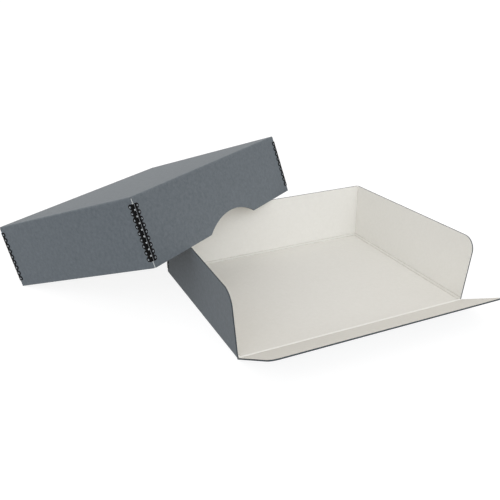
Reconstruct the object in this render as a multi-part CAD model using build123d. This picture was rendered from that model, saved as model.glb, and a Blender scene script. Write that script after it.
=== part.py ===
from build123d import *
import os
from math import asin, cos, degrees, radians, sin

# Drop-front storage box of creased, lined board, with its lid lifted off and leaning on it
# Millimetres, +Z up, the drop front towards -Y, the origin under the middle of the tray

# Room inside the closed box
inside_length = 292.1
inside_width = 228.6
inside_height = 76.2

# The two plies of the laminated board, and the inside radius of a crease
grey_ply = 1.3
cream_ply = 0.25
crease_inside_radius = 0.35

# Tray walls, whose free front ends spring outwards
left_lean = 4.8
right_lean = 7.6
wall_corner_radius = 17.0
corner_overrun = 0.1

# Drop front, whose top edge stays below the side walls when it is up
drop_front_shortfall = 1.8
drop_front_taper = 5.3
drop_front_corner_radius = 10.0
drop_front_angle = 28.1
fold_gap = 0.3

# Lid, and where it leans: its front left corner is placed from the tray's rear left one
lid_clearance = 1.0
lid_headroom = 0.3
notch_width = 98.6
notch_depth = 15.8
notch_offset = 5.5
lid_yaw = 34.0
lid_corner_outwards = 55.7
lid_corner_forwards = 143.9
lid_gap = 0.3

# Metal corner stays, drawn with few facets because there are many rings
stay_thickness = 0.4
stay_bend_radius = 1.0
stay_bend_facets = 3
ring_facets = 16
hole_facets = 8
ring_count = 9
ring_pitch = 7.35
ring_diameter = 5.5
ring_hole = 2.1
ring_from_corner = 4.75
stay_end_margin = 2.6
crest_hole = 1.8

# Sizes that follow
board = grey_ply + cream_ply
plies = {"board": (0.0, grey_ply), "liner": (grey_ply, board)}
tray_length = inside_length + 2 * board
tray_width = inside_width + 2 * board
tray_height = inside_height + board
crease_radius = board + crease_inside_radius
lid_length = tray_length + 2 * (lid_clearance + board)
lid_width = tray_width + 2 * (lid_clearance + board)
lid_height = tray_height + lid_headroom + board
stay_length = (ring_count - 1) * ring_pitch + 2 * stay_end_margin
stay_reach = ring_from_corner + ring_diameter / 2
drop_front_depth = tray_height - board / 2 - drop_front_shortfall

# The drop front turns about the middle of its own thickness
fold_axis = (-tray_width / 2 + board / 2, board / 2)
free_edge = -tray_width / 2 + board + fold_gap


def fold_section(height, ply, lean=0.0):
    """Section of a folded wall in (inwards, upwards), from its crease to its top edge."""
    sides = []
    for depth in plies[ply]:
        radius = crease_radius - depth
        bend = CenterArc((crease_radius, crease_radius), radius, 270, lean - 90)
        rise = (height - (bend @ 1).Y) / cos(radians(lean))
        top = bend @ 1 + Vector(-sin(radians(lean)), cos(radians(lean))) * rise
        sides.append((bend, Line(bend @ 1, top)))
    (outer_bend, outer_face), (inner_bend, inner_face) = sides
    top_edge = Line(outer_face @ 1, inner_face @ 1)
    floor_end = Line(inner_bend @ 0, outer_bend @ 0)
    return make_face([outer_bend, outer_face, top_edge, inner_face, inner_bend, floor_end])


def mitre(height):
    """Cutter that parts the creases of two walls at the corner one board before y = 0."""
    reach = 2 * crease_radius
    plan = make_face(Polyline((0, 0), (reach, 0), (reach, reach), close=True))
    return Pos(0, -board, -height) * extrude(plan, 3 * height)


def held_wall(length, height, ply):
    """One ply of a wall along +Y, its outer face on x = 0, mitred at its far end."""
    wall = extrude(Plane.XZ * fold_section(height, ply), length, dir=(0, 1, 0))
    return wall - Pos(0, length, 0) * mirror(mitre(height), Plane.XZ)


def straight_wall(length, height, ply):
    """A wall held at both ends."""
    return held_wall(length, height, ply) - mitre(height)


def sprung_wall(length, height, ply, lean):
    """A wall held square by its stay at the far end, that leans out at its rounded free end."""
    free_length = length - stay_reach
    free_end = Plane.XZ * fold_section(height, ply, lean)
    stay_end = Plane.XZ.offset(-free_length) * fold_section(height, ply)
    # The round overruns both edges a little, so that it crosses them at a clear angle
    radius = wall_corner_radius
    centre = radius - corner_overrun
    corner = Pos(0, height) * Rectangle(2 * radius, 2 * radius)
    corner -= Pos(centre, height - centre) * Circle(radius)
    free_wall = loft([free_end, stay_end], ruled=True)
    free_wall -= extrude(Plane.YZ * corner, height, both=True)
    return free_wall + Pos(0, free_length, 0) * held_wall(stay_reach, height, ply)


def floor_panel(x_from, x_to, y_from, y_to, ply):
    """One ply of the flat panel between the creases."""
    low, high = plies[ply]
    middle = Pos((x_from + x_to) / 2, (y_from + y_to) / 2)
    return extrude(Pos(0, 0, low) * middle * Rectangle(x_to - x_from, y_to - y_from), high - low)


def drop_front(ply):
    """One ply of the front panel, laid flat, with its fold end rounded about the fold."""
    fold_y, fold_z = fold_axis
    plate = Pos(fold_y - drop_front_depth / 2, fold_z) * Rectangle(drop_front_depth, board)
    nosed = plate + Pos(fold_y, fold_z) * Circle(board / 2)
    low, high = plies[ply]
    band = Pos(fold_y, (low + high) / 2) * Rectangle(3 * drop_front_depth, high - low)
    panel = extrude(Plane.YZ * (nosed & band), tray_length / 2, both=True)

    half, far_y = tray_length / 2, fold_y - drop_front_depth
    corners = [(-half, 0), (-half, fold_y), (-half + drop_front_taper, far_y)]
    corners += [(-x, y) for x, y in reversed(corners)]
    outline = make_face(Polyline(corners, close=True))
    outline = fillet(outline.vertices().sort_by(Axis.Y)[:2], drop_front_corner_radius)
    return panel & extrude(outline, tray_height, both=True)


def thumb_notch(along):
    """Cutter for the shallow round notch in a lid wall, whose rim is at the lid's height."""
    radius = ((notch_width / 2) ** 2 + notch_depth ** 2) / (2 * notch_depth)
    disc = Pos(along, lid_height - notch_depth + radius) * Circle(radius)
    return extrude(Plane.YZ * disc, 3 * board, both=True)


def bend_section():
    """Section of the stay's rounded crest, from the one leg to the other."""
    centre = Vector(stay_bend_radius, stay_bend_radius)
    turns = [radians(180 + 90 * i / stay_bend_facets) for i in range(stay_bend_facets + 1)]
    inner = [centre + Vector(cos(a), sin(a)) * stay_bend_radius for a in turns]
    outer = [centre + Vector(cos(a), sin(a)) * (stay_bend_radius + stay_thickness)
             for a in turns]
    return make_face(Polyline(*inner, *reversed(outer), close=True))


def corner_stay(wall_height):
    """Bent strip round the upright corner at the origin, for walls along +X and +Y.

    Each leg ends in a row of rings with a pierced hole, and the crest is pierced
    between each pair of rings.
    """
    first_ring = (wall_height - (ring_count - 1) * ring_pitch) / 2
    ring_heights = [first_ring + i * ring_pitch for i in range(ring_count)]
    ring = RegularPolygon(ring_diameter / 2, ring_facets)
    hole = RegularPolygon(ring_hole / 2, hole_facets)

    leg_width = ring_from_corner - stay_bend_radius
    leg = Pos(stay_bend_radius + leg_width / 2, wall_height / 2) * Rectangle(leg_width, stay_length)
    leg += [Pos(ring_from_corner, z) * ring for z in ring_heights]
    leg -= [Pos(ring_from_corner, z) * hole for z in ring_heights]
    front_leg = extrude(Plane.XZ * leg, stay_thickness)
    side_leg = mirror(front_leg, Plane((0, 0, 0), z_dir=(1, -1, 0)))
    crest = extrude(Pos(0, 0, (wall_height - stay_length) / 2) * bend_section(), stay_length)

    stay = front_leg + side_leg + crest
    punch = Rot(0, 0, 45) * Box(4 * stay_bend_radius, crest_hole, crest_hole)
    for z in ring_heights[:-1]:
        stay -= Pos(0, 0, z + ring_pitch / 2) * punch
    return stay


# Tray

half_length, half_width = tray_length / 2, tray_width / 2
side_length = half_width - board - free_edge
pieces = {}
for ply in plies:
    pieces[f"tray_floor_{ply}"] = floor_panel(
        -half_length + crease_radius, half_length - crease_radius,
        free_edge, half_width - crease_radius, ply)
    rear = straight_wall(inside_length, tray_height, ply)
    pieces[f"tray_rear_wall_{ply}"] = (
        Pos(-half_length + board, half_width, 0) * Rot(0, 0, -90) * rear)
    left = sprung_wall(side_length, tray_height, ply, left_lean)
    pieces[f"tray_left_wall_{ply}"] = Pos(-half_length, free_edge, 0) * left
    right = mirror(sprung_wall(side_length, tray_height, ply, right_lean), Plane.YZ)
    pieces[f"tray_right_wall_{ply}"] = Pos(half_length, free_edge, 0) * right

tray_stay = corner_stay(tray_height)
pieces["rear_left_tray_stay"] = Pos(-half_length, half_width, 0) * Rot(0, 0, -90) * tray_stay
pieces["rear_right_tray_stay"] = Pos(half_length, half_width, 0) * Rot(0, 0, 180) * tray_stay

# Drop front, part way down

fold = Pos(0, *fold_axis)
swing = fold * Rot(-drop_front_angle, 0, 0) * fold.inverse()
for ply in plies:
    pieces[f"drop_front_{ply}"] = swing * drop_front(ply)

# Lid, made open side up like the tray, then turned over and leant against the tray

lid_tilt = degrees(asin((tray_height + lid_gap) / (lid_width - board)))
rim_height = lid_width * sin(radians(lid_tilt))
lean_on_tray = (
    Pos(-half_length - lid_corner_outwards, half_width - lid_corner_forwards, rim_height)
    * Rot(0, 0, lid_yaw) * Rot(-lid_tilt, 0, 0)
    * Pos(lid_length / 2, lid_width / 2, lid_height) * Rot(180, 0, 0))
half_length, half_width = lid_length / 2, lid_width / 2
lid_walls = {
    "front": (Pos(-half_length + board, half_width, 0) * Rot(0, 0, -90), lid_length, 1),
    "rear": (Pos(half_length - board, -half_width, 0) * Rot(0, 0, 90), lid_length, -1),
    "left": (Pos(-half_length, -half_width + board, 0), lid_width, 0),
    "right": (Pos(half_length, half_width - board, 0) * Rot(0, 0, 180), lid_width, 0),
}
for ply in plies:
    pieces[f"lid_top_{ply}"] = lean_on_tray * floor_panel(
        -half_length + crease_radius, half_length - crease_radius,
        -half_width + crease_radius, half_width - crease_radius, ply)
    for side, (place, outside_length, notch_side) in lid_walls.items():
        wall_length = outside_length - 2 * board
        wall = straight_wall(wall_length, lid_height, ply)
        if notch_side:
            wall -= thumb_notch(wall_length / 2 + notch_side * notch_offset)
        pieces[f"lid_{side}_wall_{ply}"] = lean_on_tray * place * wall

lid_stay = corner_stay(lid_height)
lid_corners = {
    "rear_left": Pos(-half_length, -half_width, 0),
    "rear_right": Pos(half_length, -half_width, 0) * Rot(0, 0, 90),
    "front_right": Pos(half_length, half_width, 0) * Rot(0, 0, 180),
    "front_left": Pos(-half_length, half_width, 0) * Rot(0, 0, -90),
}
for corner, place in lid_corners.items():
    pieces[f"{corner}_lid_stay"] = lean_on_tray * place * lid_stay

# One file for each piece

os.makedirs("parts", exist_ok=True)
for name, piece in pieces.items():
    export_step(piece, f"parts/{name}.step")
print("fold axis", fold_axis, "lid tilt", lid_tilt, "lid outside", lid_length, lid_width, lid_height)
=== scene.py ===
"""Finish and fine detail of a drop-front storage box: grey board outside, cream paper inside,
pierced black steel stays at the corners.
"""
from math import asin, cos, pi, radians, sin, sqrt

import bmesh
import bpy
from bpy.props import FloatProperty, FloatVectorProperty, IntProperty, PointerProperty
from mathutils import Matrix, Vector


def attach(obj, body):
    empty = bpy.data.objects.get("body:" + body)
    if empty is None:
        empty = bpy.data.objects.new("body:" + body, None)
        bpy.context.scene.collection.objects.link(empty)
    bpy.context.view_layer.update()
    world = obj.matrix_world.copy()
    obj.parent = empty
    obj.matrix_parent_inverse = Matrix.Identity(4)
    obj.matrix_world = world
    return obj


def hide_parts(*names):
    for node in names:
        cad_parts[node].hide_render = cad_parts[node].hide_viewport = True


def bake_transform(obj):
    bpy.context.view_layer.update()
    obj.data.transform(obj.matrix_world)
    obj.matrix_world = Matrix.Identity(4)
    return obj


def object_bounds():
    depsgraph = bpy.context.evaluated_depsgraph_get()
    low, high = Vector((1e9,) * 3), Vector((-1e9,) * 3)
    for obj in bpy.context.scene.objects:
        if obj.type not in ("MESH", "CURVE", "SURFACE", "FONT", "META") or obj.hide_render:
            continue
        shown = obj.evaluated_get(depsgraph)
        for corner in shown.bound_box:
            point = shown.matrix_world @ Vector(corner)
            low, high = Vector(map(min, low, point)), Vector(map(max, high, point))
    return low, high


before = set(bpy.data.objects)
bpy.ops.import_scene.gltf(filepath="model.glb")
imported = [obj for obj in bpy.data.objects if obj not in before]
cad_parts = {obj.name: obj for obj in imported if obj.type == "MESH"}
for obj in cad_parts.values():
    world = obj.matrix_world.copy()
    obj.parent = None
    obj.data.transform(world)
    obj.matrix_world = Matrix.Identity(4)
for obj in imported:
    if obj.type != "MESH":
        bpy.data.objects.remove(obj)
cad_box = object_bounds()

bl_info = {
    "name": "Drop-front storage box",
    "version": (1, 0, 0),
    "blender": (4, 5, 0),
    "location": "3D View > Sidebar > Storage Box",
    "description": "Papers, stays, seams, creases and cut edges of a drop-front storage box",
    "category": "Object",
}

MM = 0.001

# The box's own sizes, as its solids have them

BOARD = 1.55 * MM
TRAY_LENGTH, TRAY_WIDTH, TRAY_HEIGHT = 295.2 * MM, 231.7 * MM, 77.75 * MM
LID_LENGTH, LID_WIDTH, LID_HEIGHT = 300.3 * MM, 236.8 * MM, 79.6 * MM
LID_YAW = radians(34.0)
LID_CORNER_OUTWARDS, LID_CORNER_FORWARDS = 55.7 * MM, 143.9 * MM
LID_GAP = 0.3 * MM
FOLD_GAP = 0.3 * MM
FREE_EDGE = -TRAY_WIDTH / 2 + BOARD + FOLD_GAP
FOLD_AXIS = Vector((0, -TRAY_WIDTH / 2 + BOARD / 2, BOARD / 2))
DROP_FRONT_ANGLE = radians(28.1)

# Mesh points closer than MERGE are made one, and edges that turn by more than SHARP stay sharp

MERGE = 0.005 * MM
SHARP = radians(35)


def linear(hex_colour):
    """Blender's linear colour for an sRGB hex colour."""
    values = [int(hex_colour[i:i + 2], 16) / 255 for i in (1, 3, 5)]
    return [v / 12.92 if v <= 0.04045 else ((v + 0.055) / 1.055) ** 2.4 for v in values]


# Settings


def length(name, description, default_mm):
    """A size in metres, whose default is given in millimetres."""
    return FloatProperty(name=name, description=description, default=default_mm * MM,
                         min=0, unit="LENGTH", subtype="DISTANCE", precision=5)


def colour(name, description, default_hex):
    """A colour, whose default is an sRGB hex value."""
    return FloatVectorProperty(name=name, description=description, size=3, min=0, max=1,
                               default=linear(default_hex), subtype="COLOR")


def share(name, description, default):
    """A value from 0 to 1."""
    return FloatProperty(name=name, description=description, default=default,
                         min=0, max=1, subtype="FACTOR")


def angle(name, description, default_degrees):
    """An angle in radians, whose default is given in degrees."""
    return FloatProperty(name=name, description=description, default=radians(default_degrees),
                         unit="ROTATION", subtype="ANGLE")


def strength(name, description, default):
    """A light's strength, from 0 up."""
    return FloatProperty(name=name, description=description, default=default, min=0)


class BoxPapers(bpy.types.PropertyGroup):
    """Colours and grain of the board, its lining and the corner seams."""
    board: colour("Board", "Slate grey face of the board", "#4f575d")
    board_cloud: colour("Board cloud", "Paler clouds in the board's pulp", "#72797f")
    board_roughness: share("Board roughness", "Roughness of the board's face", 0.6)
    lining: colour("Lining", "Cream paper inside the box", "#e1dfd9")
    lining_cloud: colour("Lining cloud", "Paler clouds in the lining's pulp", "#e9e7e2")
    lining_roughness: share("Lining roughness", "Roughness of the lining", 0.7)
    # The fold's pale colour is a painted highlight along the drop front's fold
    fold: colour("Fold", "Lining rubbed pale along the drop front's fold", "#fefdfa")
    # The bead's colour is painted shade, a darker copy of the lining
    bead: colour("Bead", "Lining stretched over the walls' folds", "#d5d2cb")
    # The score colour is painted shade along the creases
    score: colour("Score", "Lining pressed dark along a score line", "#b5b0a5")
    # The cut edges' dark colour is painted shade
    cut: colour("Cut edge", "Dark fibres of the board along its cut edges", "#24282b")
    seam: colour("Seam", "Pale paper that shows in the corner seams", "#9aa5ad")
    cloud_size: length("Cloud size", "Width of one cloud in the pulp", 4.0)
    fibre_length: length("Fibre length", "Length of the fibres that catch the light", 1.4)


class BoxStays(bpy.types.PropertyGroup):
    """Sizes and finish of the pierced steel stays."""
    ring_count: IntProperty(name="Rings", description="Rings along each leg of a stay",
                            default=9, min=1, max=20)
    ring_pitch: length("Ring pitch", "Distance from ring to ring", 7.35)
    ring_diameter: length("Ring diameter", "Outside of one ring", 5.5)
    ring_hole: length("Ring hole", "Hole pierced in one ring", 2.1)
    ring_height: length("Ring height", "How far the ring's crown is pressed up", 0.3)
    from_corner: length("From corner", "Corner of the box to the middle of a ring", 4.75)
    bend_radius: length("Bend radius", "Inside of the strip's bend round the corner", 1.4)
    thickness: length("Thickness", "Thickness of the steel strip", 0.4)
    edge_round: length("Edge round", "Round of the strip's cut edges", 0.07)
    enamel: colour("Enamel", "Black enamel on the strip", "#060607")
    # The bare steel colour also paints a highlight along one side of each stay's bend
    steel: colour("Bare steel", "Bare steel where the prongs were pierced", "#8f9295")


class BoxCreases(bpy.types.PropertyGroup):
    """Sizes of the beads that scoring leaves along the folds."""
    wall_bead: length("Wall bead", "Reach of a wall fold's bead on the floor and the wall", 2.9)
    wall_bead_rise: length("Wall bead rise", "How far that bead bulges from a straight chamfer",
                           0.45)
    front_bead: length("Front bead", "Radius of the bead along the drop front's fold", 1.7)
    # The cut edges' layer carries their painted shade
    cut_edge: length("Cut edge", "Thickness of the rough fibres along a cut edge", 0.06)
    sink: length("Sink", "How far a bead's edges lie under the lining's face", 0.12)


class BoxStudio(bpy.types.PropertyGroup):
    """Camera, floor and light."""
    camera_place: FloatVectorProperty(
        name="Camera place", description="Where the camera stands", size=3,
        default=(-0.3679, -0.6294, 0.3697), unit="LENGTH", subtype="TRANSLATION")
    camera_turn: angle("Camera turn", "How far the camera looks to the right of the box's front",
                       24.6)
    camera_dip: angle("Camera dip", "How far the camera looks down", 23.78)
    camera_roll: angle("Camera roll", "How far the camera leans to its right", 0.53)
    lens: FloatProperty(name="Lens", description="Focal length on a 36 mm sensor, in millimetres",
                        default=46.15, min=10, max=300)
    floor: colour("Floor", "Colour of the light that the floor throws back on the box",
                  "#828282")
    glow: strength("Floor glow", "Added where the floor is seen, so that it is white", 0.87)
    ambient: strength("Ambient", "Strength of the even light all round", 0.65)
    key: strength("Key", "Strength of the soft key light", 0.96)
    fill: strength("Fill", "Strength of the soft light from the left", 0.78)
    side: strength("Side", "Strength of the weaker light from the right", 0.22)
    back: strength("Back", "Strength of the faint light from behind", 0.2)


# Materials


def add(tree, kind, settings=None, **links):
    """Adds a node. A link's key is an input's name, with _ for a space, or else _ and its number,
    and it holds the output that feeds the input, or else the input's value."""
    node = tree.nodes.new(kind)
    for name, value in (settings or {}).items():
        setattr(node, name, value)
    for name, value in links.items():
        key = int(name[1:]) if name[1:].isdigit() else name.replace("_", " ")
        socket = node.inputs[key]
        if isinstance(value, bpy.types.NodeSocket):
            tree.links.new(value, socket)
        else:
            socket.default_value = value
    return node


def new_material(name):
    """An empty node material, and its node tree."""
    material = bpy.data.materials.new(name)
    material.use_nodes = True
    material.node_tree.nodes.clear()
    return material, material.node_tree


def paper(name, papers, face, cloud, roughness, grain):
    """Uncoated paper: faint clouds in the pulp, and a fine fibrous tooth."""
    fibre_share, roughness_spread = 0.5, 0.05
    material, tree = new_material(name)
    place = add(tree, "ShaderNodeTexCoord").outputs["Object"]
    clouds = add(tree, "ShaderNodeTexNoise", Vector=place, Scale=1 / papers.cloud_size,
                 Detail=4.0, Roughness=0.6)
    # The fibres are drawn about three times too coarse, or they would not show at this distance
    fibres = add(tree, "ShaderNodeTexNoise", Vector=place, Scale=1 / papers.fibre_length,
                 Detail=3.0, Roughness=0.7, Distortion=0.6)
    pulp = add(tree, "ShaderNodeMath", {"operation": "MULTIPLY_ADD"},
               _0=fibres.outputs["Fac"], _1=fibre_share, _2=-fibre_share / 2)
    tone = add(tree, "ShaderNodeMath", {"operation": "ADD"}, _0=clouds.outputs["Fac"],
               _1=pulp.outputs[0])
    # A colour mix has its two colours at inputs 6 and 7, and the mixed one at output 2
    mix = add(tree, "ShaderNodeMix", {"data_type": "RGBA"}, Factor=tone.outputs[0],
              _6=(*face, 1), _7=(*cloud, 1))
    rough = add(tree, "ShaderNodeMapRange", Value=fibres.outputs["Fac"],
                To_Min=roughness - roughness_spread, To_Max=roughness + roughness_spread)
    tooth = add(tree, "ShaderNodeBump", Height=fibres.outputs["Fac"], Strength=grain,
                Distance=0.1 * MM)
    shader = add(tree, "ShaderNodeBsdfPrincipled", Base_Color=mix.outputs[2],
                 Roughness=rough.outputs[0], Normal=tooth.outputs[0], IOR=1.45)
    add(tree, "ShaderNodeOutputMaterial", Surface=shader.outputs[0])
    return material


def slate_grey_board(papers):
    """Calendered lignin-free board: a soft even grey with faint clouds, and a low sheen when
    it is seen along its face."""
    return paper("slate_grey_calendered_board", papers, papers.board, papers.board_cloud,
                 roughness=papers.board_roughness, grain=0.25)


def cream_lining(papers):
    """Uncoated cream paper laminated to the board: matt and even, with almost no texture."""
    return paper("uncoated_cream_lining_paper", papers, papers.lining, papers.lining_cloud,
                 roughness=papers.lining_roughness, grain=0.12)


def seam_core(papers):
    """Pale paper torn open where two walls meet: matt and fluffy, the lightest line on the
    outside."""
    return paper("pale_paper_core", papers, papers.seam, papers.lining,
                 roughness=0.8, grain=0.3)


def bead_lining_painted_shade(papers):
    """Lining over a wall's fold, made a shade deeper with painted shade, and as matt as the rest.
    """
    return paper("cream_bead_painted_shade", papers, papers.bead, papers.lining,
                 roughness=0.7, grain=0.12)


def fold_painted_highlight(papers):
    """Lining along the drop front's fold, painted pale as a highlight, and smoother than the
    rest.
    """
    return paper("cream_fold_painted_highlight", papers, papers.fold, papers.lining_cloud,
                 roughness=0.6, grain=0.1)


def crease_line_painted_shade(papers):
    """A fine line of lining along a score line, painted dark as the shade in the crease."""
    return paper("cream_crease_painted_shade", papers, papers.score, papers.lining,
                 roughness=0.75, grain=0.12)


def cut_edge_painted_shade(papers):
    """The board's cut edge: painted darker than its face as shade, coarse and dull, with loose
    fibres.
    """
    return paper("grey_board_edge_painted_shade", papers, papers.cut, papers.board,
                 roughness=0.85, grain=0.5)


def black_enamel(stays):
    """Stoved enamel on steel strip: deep black and glossy, with a slight orange peel that
    breaks up its highlights."""
    material, tree = new_material("stoved_black_enamel")
    place = add(tree, "ShaderNodeTexCoord").outputs["Object"]
    ripple_width = 0.8 * MM
    peel = add(tree, "ShaderNodeTexNoise", Vector=place, Scale=1 / ripple_width, Detail=2.0)
    rough = add(tree, "ShaderNodeMapRange", Value=peel.outputs["Fac"], To_Min=0.2, To_Max=0.34)
    ripple = add(tree, "ShaderNodeBump", Height=peel.outputs["Fac"], Strength=0.2,
                 Distance=0.04 * MM)
    shader = add(tree, "ShaderNodeBsdfPrincipled", Base_Color=(*stays.enamel, 1), IOR=1.5,
                 Specular_IOR_Level=0.06, Roughness=rough.outputs[0], Normal=ripple.outputs[0])
    add(tree, "ShaderNodeOutputMaterial", Surface=shader.outputs[0])
    return material


def bare_steel_and_highlight(stays):
    """Bare mild steel on the prongs' inner edges, bright, with the drag marks of the punch; the
    same finish makes a painted highlight along one side of each bend.
    """
    material, tree = new_material("bare_steel_and_painted_highlight")
    place = add(tree, "ShaderNodeTexCoord").outputs["Object"]
    drag_spacing = 0.15 * MM
    drag = add(tree, "ShaderNodeTexNoise", Vector=place, Scale=1 / drag_spacing, Detail=2.0)
    rough = add(tree, "ShaderNodeMapRange", Value=drag.outputs["Fac"], To_Min=0.3, To_Max=0.5)
    shader = add(tree, "ShaderNodeBsdfPrincipled", Base_Color=(*stays.steel, 1), Metallic=1.0,
                 Roughness=rough.outputs[0])
    add(tree, "ShaderNodeOutputMaterial", Surface=shader.outputs[0])
    return material


# Mesh helpers


def edges_of(found):
    return [e for e in found if isinstance(e, bmesh.types.BMEdge)]


def verts_of(found):
    return [v for v in found if isinstance(v, bmesh.types.BMVert)]


def faces_of(found):
    return [f for f in found if isinstance(f, bmesh.types.BMFace)]


def everything(bm):
    """A bmesh's points, edges and faces."""
    return list(bm.verts) + list(bm.edges) + list(bm.faces)


def pull_out(bm, faces, way):
    """Extrudes faces along a vector, and returns what grew."""
    grown = bmesh.ops.extrude_face_region(bm, geom=faces)["geom"]
    bmesh.ops.translate(bm, verts=verts_of(grown), vec=way)
    return grown


def cut_off(bm, point, outwards):
    """Takes off what lies beyond a plane, and closes the cut."""
    cut = bmesh.ops.bisect_plane(bm, geom=everything(bm), plane_co=point, plane_no=outwards,
                                 clear_outer=True)
    bmesh.ops.holes_fill(bm, edges=edges_of(cut["geom_cut"]), sides=0)


def new_object(name, data):
    """An object at the origin, linked to the scene."""
    made = bpy.data.objects.new(name, data)
    bpy.context.scene.collection.objects.link(made)
    return made


def finish_piece(bm, name, materials, body, place=Matrix.Identity(4)):
    """Writes the bmesh as a piece that rides on a body, if one is given, and takes its finish
    from a slot."""
    bmesh.ops.transform(bm, matrix=place, verts=bm.verts)
    mesh = bpy.data.meshes.new(name)
    bm.to_mesh(mesh)
    bm.free()
    mesh.shade_smooth()
    mesh.set_sharp_from_angle(angle=SHARP)
    piece = new_object(name, mesh)
    for material in materials:
        mesh.materials.append(material)
    if body:
        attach(piece, body)
    return piece


def lid_place():
    """From the lid made open side up, like the tray, to where it leans on the tray."""
    tilt = asin((TRAY_HEIGHT + LID_GAP) / (LID_WIDTH - BOARD))
    rim = Vector((-TRAY_LENGTH / 2 - LID_CORNER_OUTWARDS, TRAY_WIDTH / 2 - LID_CORNER_FORWARDS,
                  LID_WIDTH * sin(tilt)))
    return (Matrix.Translation(rim) @ Matrix.Rotation(LID_YAW, 4, "Z")
            @ Matrix.Rotation(-tilt, 4, "X")
            @ Matrix.Translation((LID_LENGTH / 2, LID_WIDTH / 2, LID_HEIGHT))
            @ Matrix.Rotation(pi, 4, "X"))


def corner_places():
    """Each stay's name, body, wall height, and its place from a corner at the origin whose
    walls run along +X and +Y."""
    def corner(x, y, quarter_turns):
        return Matrix.Translation((x, y, 0)) @ Matrix.Rotation(quarter_turns * pi / 2, 4, "Z")

    x, y = TRAY_LENGTH / 2, TRAY_WIDTH / 2
    places = [("rear_left_tray_stay", "tray", TRAY_HEIGHT, corner(-x, y, -1)),
              ("rear_right_tray_stay", "tray", TRAY_HEIGHT, corner(x, y, 2))]
    x, y = LID_LENGTH / 2, LID_WIDTH / 2
    lean = lid_place()
    for name, place in (("rear_left", corner(-x, -y, 0)), ("rear_right", corner(x, -y, 1)),
                        ("front_right", corner(x, y, 2)), ("front_left", corner(-x, y, -1))):
        places.append((f"{name}_lid_stay", "lid", LID_HEIGHT, lean @ place))
    return places


# Operators


class STORAGEBOX_OT_papers(bpy.types.Operator):
    """Gives the board its slate grey face and the inside its cream paper."""
    bl_idname = "storage_box.papers"
    bl_label = "Board and Lining"

    def execute(self, context):
        papers = context.scene.box_papers
        finishes = {"board": slate_grey_board(papers), "liner": cream_lining(papers)}
        # The stays' nodes are replaced later, and get no finish here
        for name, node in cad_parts.items():
            finish = finishes.get(name.rsplit("_", 1)[-1])
            if finish:
                for slot in node.material_slots:
                    slot.material = finish
        return {"FINISHED"}


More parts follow.
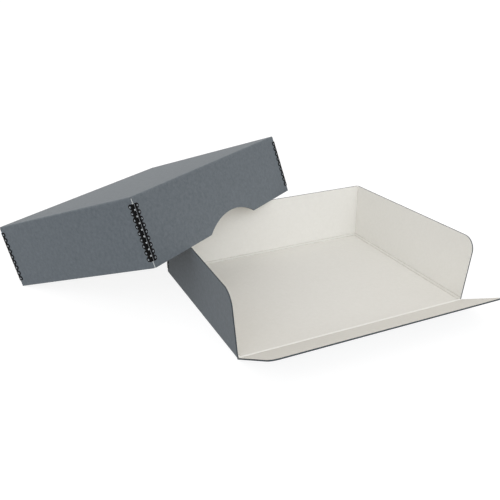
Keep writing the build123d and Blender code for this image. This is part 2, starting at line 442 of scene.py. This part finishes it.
class STORAGEBOX_OT_stays(bpy.types.Operator):
    """Makes the six pierced steel stays, with their pressed rings."""
    bl_idname = "storage_box.stays"
    bl_label = "Corner Stays"

    def execute(self, context):
        stays = context.scene.box_stays
        finishes = [black_enamel(stays), bare_steel_and_highlight(stays)]
        for node_name, body, height, place in corner_places():
            bm = self.strip(stays)
            raised = place @ Matrix.Translation((0, 0, height / 2))
            piece = finish_piece(bm, node_name.replace("_stay", "_pierced_stay"), finishes,
                                 body, raised)
            thick = piece.modifiers.new("thickness", "SOLIDIFY")
            thick.thickness = stays.thickness
            thick.offset = 1
            thick.use_even_offset = True
            rounded = piece.modifiers.new("cut edges", "BEVEL")
            rounded.width = stays.edge_round
            rounded.segments = 2
            rounded.limit_method = "ANGLE"
            rounded.angle_limit = radians(50)
            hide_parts(node_name)
        return {"FINISHED"}

    def ring(self, bm, stays):
        """One pressed ring round its pierced hole, as a sheet: the hole's bare lip, a raised
        crown and a flat foot. Returns the foot's edges."""
        hole, foot, crown = stays.ring_hole / 2, stays.ring_diameter / 2, stays.ring_height
        lip_depth, lip_steps = 0.3 * MM, 2
        # Radius and height of each step outwards, from the lip up to the crown and down again
        profile = [(hole + 0.12 * MM, -0.05 * MM), (hole + 0.36 * MM, 0.75 * crown),
                   (hole + 0.75 * MM, crown), (foot - 0.45 * MM, 0.5 * crown), (foot, 0)]
        found = bmesh.ops.create_circle(bm, cap_ends=False, segments=24, radius=hole)
        bmesh.ops.translate(bm, verts=found["verts"], vec=(0, 0, -lip_depth))
        loop, radius = list(bm.edges), hole
        for step, (next_radius, height) in enumerate(profile):
            grown = bmesh.ops.extrude_edge_only(bm, edges=loop)["geom"]
            verts = verts_of(grown)
            bmesh.ops.scale(bm, verts=verts, vec=(next_radius / radius, next_radius / radius, 1))
            bmesh.ops.translate(bm, verts=verts, vec=(0, 0, height - verts[0].co.z))
            for face in faces_of(grown):
                face.material_index = 1 if step < lip_steps else 0
            loop, radius = edges_of(grown), next_radius
        return loop

    def leg(self, stays):
        """One leg of the strip, lying in the XY plane: rings up the line x = from_corner, and
        the web between them and the bend, which starts at x = bend_radius."""
        bm = bmesh.new()
        foot, narrow = stays.ring_diameter / 2, 0.15 * MM
        loop = self.ring(bm, stays)
        inner = [e for e in loop if all(v.co.x < MERGE for v in e.verts)]
        # Short edges up and down from the foot reach halfway to the next rings
        tips = sorted({v for e in inner for v in e.verts}, key=lambda v: v.co.y)
        for tip, side in ((tips[0], -1), (tips[-1], 1)):
            tab = bmesh.ops.extrude_vert_indiv(bm, verts=[tip])
            bmesh.ops.translate(bm, verts=tab["verts"],
                                vec=(0, side * (stays.ring_pitch / 2 - foot), 0))
            inner += tab["edges"]
        # The web's last row is narrow, so that the bend's shading stops short of it
        bend_x = stays.bend_radius - stays.from_corner
        for x in (bend_x + narrow, bend_x):
            grown = bmesh.ops.extrude_edge_only(bm, edges=inner)["geom"]
            for vert in verts_of(grown):
                vert.co.x = x
            inner = edges_of(grown)
        cell = everything(bm)
        half_length = (stays.ring_count - 1) / 2 * stays.ring_pitch
        for row in range(1, stays.ring_count):
            copied = bmesh.ops.duplicate(bm, geom=cell)["geom"]
            bmesh.ops.translate(bm, verts=verts_of(copied), vec=(0, row * stays.ring_pitch, 0))
        bmesh.ops.translate(bm, verts=bm.verts, vec=(stays.from_corner, -half_length, 0))
        bmesh.ops.remove_doubles(bm, verts=bm.verts, dist=MERGE)
        # The strip ends with its last rings
        over = [f for f in bm.faces
                if abs(f.calc_center_median().y) > half_length + foot + MERGE]
        bmesh.ops.delete(bm, geom=over, context="FACES")
        return bm

    def strip(self, stays):
        """The whole strip as a sheet on the box's faces: a leg along +X, the bend, and the
        other leg along +Y, its height along Z and centred on the origin."""
        bm = self.leg(stays)
        # The leg stands up on the wall along +X, whose outer face looks along -Y
        bmesh.ops.rotate(bm, verts=bm.verts, cent=(0, 0, 0),
                         matrix=Matrix.Rotation(pi / 2, 3, "X"))
        leg = everything(bm)
        other = bmesh.ops.duplicate(bm, geom=leg)["geom"]
        x_for_y = Matrix(((0, 1, 0, 0), (1, 0, 0, 0), (0, 0, 1, 0), (0, 0, 0, 1)))
        bmesh.ops.transform(bm, verts=verts_of(other), matrix=x_for_y)

        radius = stays.bend_radius
        start = [e for e in edges_of(leg)
                 if e.is_boundary and all(abs(v.co.x - radius) < MERGE for v in e.verts)
                 and abs(e.verts[0].co.z - e.verts[1].co.z) > MERGE]
        before = set(bm.faces)
        bmesh.ops.spin(bm, geom=start, cent=(radius, radius, 0), axis=(0, 0, 1),
                       angle=-pi / 2, steps=8, use_duplicate=False)
        bend = [f for f in bm.faces if f not in before]
        gap = (stays.ring_pitch - stays.ring_diameter) / 2
        punched, highlight_from = 0.75 * radius, 0.8 * radius
        holes = []
        for face in bend:
            centre = face.calc_center_median()
            # This is a half beside a ring, and 0 or 1 halfway between two rings
            along = (centre.z / stays.ring_pitch + stays.ring_count / 2) % 1
            between = min(along, 1 - along) * stays.ring_pitch < gap
            # A row of faces between two rings is punched out, apart from one step each side
            if between and abs(centre.x - centre.y) < punched:
                holes.append(face)
            # A fine line along one side of the bend is painted with bare steel as a highlight
            elif centre.y - centre.x > highlight_from:
                face.material_index = 1
        bmesh.ops.delete(bm, geom=holes, context="FACES")
        bmesh.ops.remove_doubles(bm, verts=bm.verts, dist=MERGE)
        bmesh.ops.recalc_face_normals(bm, faces=bm.faces)
        # The face nearest the corner has to look away from the box
        outer = min(bm.faces, key=lambda f: f.calc_center_median().x + f.calc_center_median().y)
        if outer.normal.x + outer.normal.y > 0:
            bmesh.ops.reverse_faces(bm, faces=bm.faces)
        return bm


class STORAGEBOX_OT_seams(bpy.types.Operator):
    """Fills each stayed corner with the pale paper that shows above, below and through a stay."""
    bl_idname = "storage_box.seams"
    bl_label = "Corner Seams"

    def execute(self, context):
        papers, stays = context.scene.box_papers, context.scene.box_stays
        finishes = [seam_core(papers), slate_grey_board(papers), cream_lining(papers)]
        half_strip = stays.ring_count * stays.ring_pitch / 2
        # The filling starts above the floor's fold and stops short of the rim. It lies just
        # behind the outer faces, and just proud of the lining
        foot, below_rim, inset, inside = 2.2 * MM, 0.3 * MM, 0.22 * MM, BOARD + 0.3 * MM
        # A face looks into the room past the first value of its normal, and off the corner's
        # diagonal past the second
        into_room, off_diagonal = 0.5, 0.3
        for node_name, body, height, place in corner_places():
            bm = bmesh.new()
            outer = bm.verts.new((BOARD, inset, foot))
            arc = bmesh.ops.spin(bm, geom=[outer], cent=(BOARD, BOARD, foot), axis=(0, 0, 1),
                                 angle=-pi / 2, steps=9, use_duplicate=False)
            # In the room the walls meet in a fine square bead
            loop = [outer] + [bm.verts.new((x, y, foot)) for x, y in
                              ((inside, BOARD), (inside, inside), (BOARD, inside))]
            for pair in zip(loop, loop[1:] + [arc["geom_last"][0]]):
                bm.edges.new(pair)
            base = bmesh.ops.contextual_create(bm, geom=list(bm.edges))["faces"]
            level = foot
            for top in (height / 2 - half_strip, height / 2 + half_strip, height - below_rim):
                grown = pull_out(bm, base, (0, 0, top - level))
                if level > foot:
                    bmesh.ops.delete(bm, geom=base, context="FACES_ONLY")
                base, level = faces_of(grown), top
            bmesh.ops.recalc_face_normals(bm, faces=bm.faces)
            for face in bm.faces:
                centre, normal = face.calc_center_median(), face.normal
                beyond_stay = abs(centre.z - height / 2) > half_strip
                # The side in the room is lined
                if normal.x + normal.y > into_room:
                    face.material_index = 2
                # Beyond the stay the board's grey face closes in on the seam
                elif beyond_stay and abs(normal.x - normal.y) > off_diagonal:
                    face.material_index = 1
            finish_piece(bm, node_name.replace("_stay", "_seam"), finishes, body,
                         place)
        return {"FINISHED"}


class STORAGEBOX_OT_creases(bpy.types.Operator):
    """Lays the scored folds' raised beads along the inside of the tray, lid and drop front."""
    bl_idname = "storage_box.creases"
    bl_label = "Crease Beads"

    def execute(self, context):
        creases = context.scene.box_creases
        papers = context.scene.box_papers
        finishes = [bead_lining_painted_shade(papers), crease_line_painted_shade(papers)]
        turn = Matrix.Rotation
        short_of_edge = 0.4 * MM
        x, y = TRAY_LENGTH / 2 - BOARD, TRAY_WIDTH / 2 - BOARD
        side = y - FREE_EDGE - short_of_edge
        # Each bead's name, body, length, mitres at its start and end, and place
        beads = [
            ("tray_rear_crease", "tray", 2 * x, (1, 1), Matrix.Translation((-x, y, BOARD))),
            ("tray_right_crease", "tray", side, (1, 0),
             Matrix.Translation((x, y, BOARD)) @ turn(-pi / 2, 4, "Z")),
            ("tray_left_crease", "tray", side, (0, 1),
             Matrix.Translation((-x, y - side, BOARD)) @ turn(pi / 2, 4, "Z")),
        ]
        lean = lid_place()
        x, y = LID_LENGTH / 2 - BOARD, LID_WIDTH / 2 - BOARD
        for number, (name, px, py, run) in enumerate((
                ("front", -x, y, 2 * x), ("right", x, y, 2 * y),
                ("rear", x, -y, 2 * x), ("left", -x, -y, 2 * y))):
            beads.append((f"lid_{name}_crease", "lid", run, (1, 1),
                          lean @ Matrix.Translation((px, py, BOARD))
                          @ turn(-number * pi / 2, 4, "Z")))
        for name, body, run, mitres, place in beads:
            bm = self.bead(creases, run, mitres)
            finish_piece(bm, name, finishes, body, place)
        self.front_bead(creases, fold_painted_highlight(papers))
        return {"FINISHED"}

    def bead(self, creases, run, mitres):
        """A bead from x = 0 to x = run, in the inside corner of a floor at z = 0 and a wall at
        y = 0 whose room lies towards -Y, mitred at the ends that meet another bead."""
        reach, sink, rise = creases.wall_bead, creases.sink, creases.wall_bead_rise
        chord = sqrt(2) * (reach + sink)
        radius = (chord ** 2 / 4 + rise ** 2) / (2 * rise)
        towards_room = Vector((0, -1, 1)).normalized()
        foot = Vector((0, -reach, -sink))
        middle = (foot + Vector((0, sink, reach))) / 2
        centre = middle - towards_room * (radius - rise)
        bm = bmesh.new()
        start = bm.verts.new(foot)
        arc = bmesh.ops.spin(bm, geom=[start], cent=centre, axis=(1, 0, 0),
                             angle=-2 * asin(chord / (2 * radius)), steps=10,
                             use_duplicate=False)
        last = arc["geom_last"][0]
        corner = bm.verts.new((0, sink, -sink))
        bm.edges.new((last, corner))
        bm.edges.new((corner, start))
        base = bmesh.ops.contextual_create(bm, geom=list(bm.edges))["faces"]
        pull_out(bm, base, (run, 0, 0))
        bmesh.ops.recalc_face_normals(bm, faces=bm.faces)
        for mitred, at, side in ((mitres[0], 0, -1), (mitres[1], run, 1)):
            if mitred:
                cut_off(bm, (at, 0, 0), (side, -1, 0))
        bmesh.ops.recalc_face_normals(bm, faces=bm.faces)
        # The outermost faces on the wall and on the floor carry the painted shade of the score
        # lines
        score_from = 0.88 * reach
        for face in bm.faces:
            centre = face.calc_center_median()
            if max(centre.z, -centre.y) > score_from:
                face.material_index = 1
        return bm

    def front_bead(self, creases, finish):
        """The round bead over the drop front's fold."""
        flatness, seat, sunk = 0.75, 0.25 * MM, 0.35 * creases.front_bead
        half = DROP_FRONT_ANGLE / 2
        lift = BOARD / 2 / cos(half)
        fold = FOLD_AXIS + Vector((0, sin(half), cos(half))) * lift
        radius, end = creases.front_bead, TRAY_LENGTH / 2 - BOARD - FOLD_GAP
        bm = bmesh.new()
        bmesh.ops.create_circle(bm, cap_ends=True, segments=24, radius=radius)
        bmesh.ops.rotate(bm, verts=bm.verts, cent=(0, 0, 0),
                         matrix=Matrix.Rotation(pi / 2, 3, "Y"))
        pull_out(bm, list(bm.faces), (2 * end, 0, 0))
        bmesh.ops.scale(bm, verts=bm.verts, vec=(1, 1, flatness))
        # The round is cut off level just under the lining's face
        cut_off(bm, (0, 0, -sunk), (0, 0, -1))
        bmesh.ops.recalc_face_normals(bm, faces=bm.faces)
        bmesh.ops.translate(bm, verts=bm.verts, vec=(-end, fold.y, fold.z - seat))
        piece = finish_piece(bm, "drop_front_crease", [finish], None)
        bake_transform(piece)


class STORAGEBOX_OT_cut_edges(bpy.types.Operator):
    """Lays a thin layer along the board's cut edges, rough like its fibres and dark with painted
    shade.
    """
    bl_idname = "storage_box.cut_edges"
    bl_label = "Cut Edges"

    def execute(self, context):
        thickness, same_point = context.scene.box_creases.cut_edge, 0.001 * MM
        finish = cut_edge_painted_shade(context.scene.box_papers)
        up, forwards, sideways = Vector((0, 0, 1)), Vector((0, -1, 0)), Vector((1, 0, 0))
        rim = lid_place().to_3x3() @ up
        raised = Matrix.Rotation(-DROP_FRONT_ANGLE, 3, "X") @ forwards
        # Each panel's name, body, the ways that its cut edges look, the free edge's way first,
        # and how many plies get the painted shade there: at the drop front the lining's edge does
        # too
        panels = [("tray_rear_wall", "tray", [up], 1),
                  ("tray_left_wall", "tray", [up, forwards], 1),
                  ("tray_right_wall", "tray", [up, forwards], 1),
                  ("drop_front", "drop_front", [raised, sideways, -sideways], 2)]
        panels += [(f"lid_{side}_wall", "lid", [rim], 1)
                   for side in ("front", "rear", "left", "right")]
        for panel, body, looks, plies in panels:
            bm = bmesh.new()
            for ply in ("board", "liner")[:plies]:
                bm.from_mesh(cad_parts[f"{panel}_{ply}"].data)
            bmesh.ops.remove_doubles(bm, verts=bm.verts, dist=same_point)
            tip = max(v.co.dot(looks[0]) for v in bm.verts)
            uncut = [f for f in bm.faces if not self.is_cut(f, looks, tip)]
            bmesh.ops.delete(bm, geom=uncut, context="FACES")
            bm.normal_update()
            grown = bmesh.ops.extrude_face_region(bm, geom=list(bm.faces))["geom"]
            bm.normal_update()
            outer = set(faces_of(grown))
            for vert in verts_of(grown):
                normals = [f.normal for f in vert.link_faces if f in outer]
                vert.co += sum(normals, Vector()).normalized() * thickness
            bmesh.ops.recalc_face_normals(bm, faces=bm.faces)
            finish_piece(bm, f"{panel}_cut_edge", [finish], body)
        return {"FINISHED"}

    def is_cut(self, face, looks, tip):
        """Whether a face of a panel was cut: it looks one of the ways given, and one that looks
        the first way lies near the panel's tip, because the others are inside its fold."""
        tip_zone, facing = 30 * MM, 0.5
        near_tip = tip - face.calc_center_median().dot(looks[0]) < tip_zone
        return any(face.normal.dot(look) > facing and (near_tip or look is not looks[0])
                   for look in looks)


class STORAGEBOX_OT_studio(bpy.types.Operator):
    """Sets up the pale floor, the soft light and the camera."""
    bl_idname = "storage_box.studio"
    bl_label = "Studio"

    def execute(self, context):
        studio = context.scene.box_studio
        self.floor(studio)
        self.surroundings(context.scene, studio)
        self.lamps(studio)
        self.camera(context.scene, studio)
        context.scene.view_settings.view_transform = "Standard"
        return {"FINISHED"}

    def seen(self, tree):
        """1 for what the camera, a gloss or a clear surface shows of the background."""
        path = add(tree, "ShaderNodeLightPath")
        either = add(tree, "ShaderNodeMath", {"operation": "MAXIMUM"},
                     _0=path.outputs["Is Camera Ray"], _1=path.outputs["Is Glossy Ray"])
        both = add(tree, "ShaderNodeMath", {"operation": "MAXIMUM"},
                   _0=either.outputs[0], _1=path.outputs["Is Transmission Ray"])
        return both.outputs[0]

    def floor(self, studio):
        """Matt paper that keeps the box's shadow, and is seen as white elsewhere."""
        half_size, below = 20, 0.1 * MM
        bm = bmesh.new()
        bmesh.ops.create_grid(bm, x_segments=1, y_segments=1, size=half_size)
        bmesh.ops.translate(bm, verts=bm.verts, vec=(0, 0, cad_box[0][2] - below))
        mesh = bpy.data.meshes.new("floor")
        bm.to_mesh(mesh)
        bm.free()
        floor = new_object("floor", mesh)
        material, tree = new_material("matt_white_studio_paper")
        matt = add(tree, "ShaderNodeBsdfDiffuse", Color=(*studio.floor, 1))
        glow = add(tree, "ShaderNodeEmission", Strength=studio.glow)
        hidden = add(tree, "ShaderNodeEmission", Strength=0.0)
        shown = add(tree, "ShaderNodeMixShader", _0=self.seen(tree), _1=hidden.outputs[0],
                    _2=glow.outputs[0])
        both = add(tree, "ShaderNodeAddShader", _0=matt.outputs[0], _1=shown.outputs[0])
        add(tree, "ShaderNodeOutputMaterial", Surface=both.outputs[0])
        mesh.materials.append(material)

    def surroundings(self, scene, studio):
        """Even light all round, seen as plain white."""
        world = bpy.data.worlds.new("studio")
        scene.world = world
        world.use_nodes = True
        tree = world.node_tree
        tree.nodes.clear()
        light = add(tree, "ShaderNodeBackground", Color=(*linear("#fffbf5"), 1),
                    Strength=studio.ambient)
        white = add(tree, "ShaderNodeBackground", Color=(1, 1, 1, 1), Strength=1.0)
        shown = add(tree, "ShaderNodeMixShader", _0=self.seen(tree), _1=light.outputs[0],
                    _2=white.outputs[0])
        add(tree, "ShaderNodeOutputWorld", Surface=shown.outputs[0])

    def lamps(self, studio):
        """A soft key from the front, fills from both sides, and a faint light behind."""
        cool, warm, distance = "#f0f6fe", "#fffaf2", 3
        for name, energy, tint, width, towards in (
                ("key", studio.key, cool, radians(40), Vector((0.05, 0.9, -0.5))),
                ("fill", studio.fill, cool, radians(60), Vector((0.85, 0.4, -0.5))),
                ("side", studio.side, cool, radians(40), Vector((-0.8, 0.35, -0.5))),
                ("back", studio.back, warm, radians(60), Vector((0.15, -0.85, -0.6)))):
            lamp = bpy.data.lights.new(name, "SUN")
            lamp.energy, lamp.angle, lamp.color = energy, width, linear(tint)
            light = new_object(name, lamp)
            light.rotation_euler = towards.to_track_quat("-Z", "Y").to_euler()
            light.location = -distance * towards

    def camera(self, scene, studio):
        """The camera, turned to the right, dipped and rolled from a level look along +Y."""
        lens = bpy.data.cameras.new("camera")
        lens.lens = studio.lens
        lens.sensor_width = 36
        lens.sensor_fit = "HORIZONTAL"
        lens.clip_start, lens.clip_end = 0.01, 100
        camera = new_object("camera", lens)
        turned = (Matrix.Rotation(-studio.camera_turn, 4, "Z")
                  @ Matrix.Rotation(pi / 2 - studio.camera_dip, 4, "X")
                  @ Matrix.Rotation(-studio.camera_roll, 4, "Z"))
        camera.matrix_world = Matrix.Translation(studio.camera_place) @ turned
        scene.camera = camera


class STORAGEBOX_PT_sidebar(bpy.types.Panel):
    """Lists the box's pieces in the order in which they are made."""
    bl_idname = "STORAGEBOX_PT_sidebar"
    bl_label = "Storage Box"
    bl_space_type = "VIEW_3D"
    bl_region_type = "UI"
    bl_category = "Storage Box"

    def draw(self, context):
        for operator in OPERATORS:
            self.layout.operator(operator.bl_idname)
        for name in SETTINGS:
            settings = getattr(context.scene, name)
            for setting in settings.bl_rna.properties:
                if setting.identifier not in ("rna_type", "name"):
                    self.layout.prop(settings, setting.identifier)


SETTINGS = {"box_papers": BoxPapers, "box_stays": BoxStays, "box_creases": BoxCreases,
            "box_studio": BoxStudio}
OPERATORS = (STORAGEBOX_OT_papers, STORAGEBOX_OT_stays, STORAGEBOX_OT_seams,
             STORAGEBOX_OT_creases, STORAGEBOX_OT_cut_edges, STORAGEBOX_OT_studio)


def register():
    for group in (*SETTINGS.values(), *OPERATORS, STORAGEBOX_PT_sidebar):
        bpy.utils.register_class(group)
    for name, group in SETTINGS.items():
        setattr(bpy.types.Scene, name, PointerProperty(type=group))


def unregister():
    for name in SETTINGS:
        delattr(bpy.types.Scene, name)
    for group in reversed((*SETTINGS.values(), *OPERATORS, STORAGEBOX_PT_sidebar)):
        bpy.utils.unregister_class(group)


def main():
    register()
    bpy.ops.storage_box.papers()
    bpy.ops.storage_box.stays()
    bpy.ops.storage_box.seams()
    bpy.ops.storage_box.creases()
    bpy.ops.storage_box.cut_edges()
    bpy.ops.storage_box.studio()


if __name__ == "__main__":
    main()
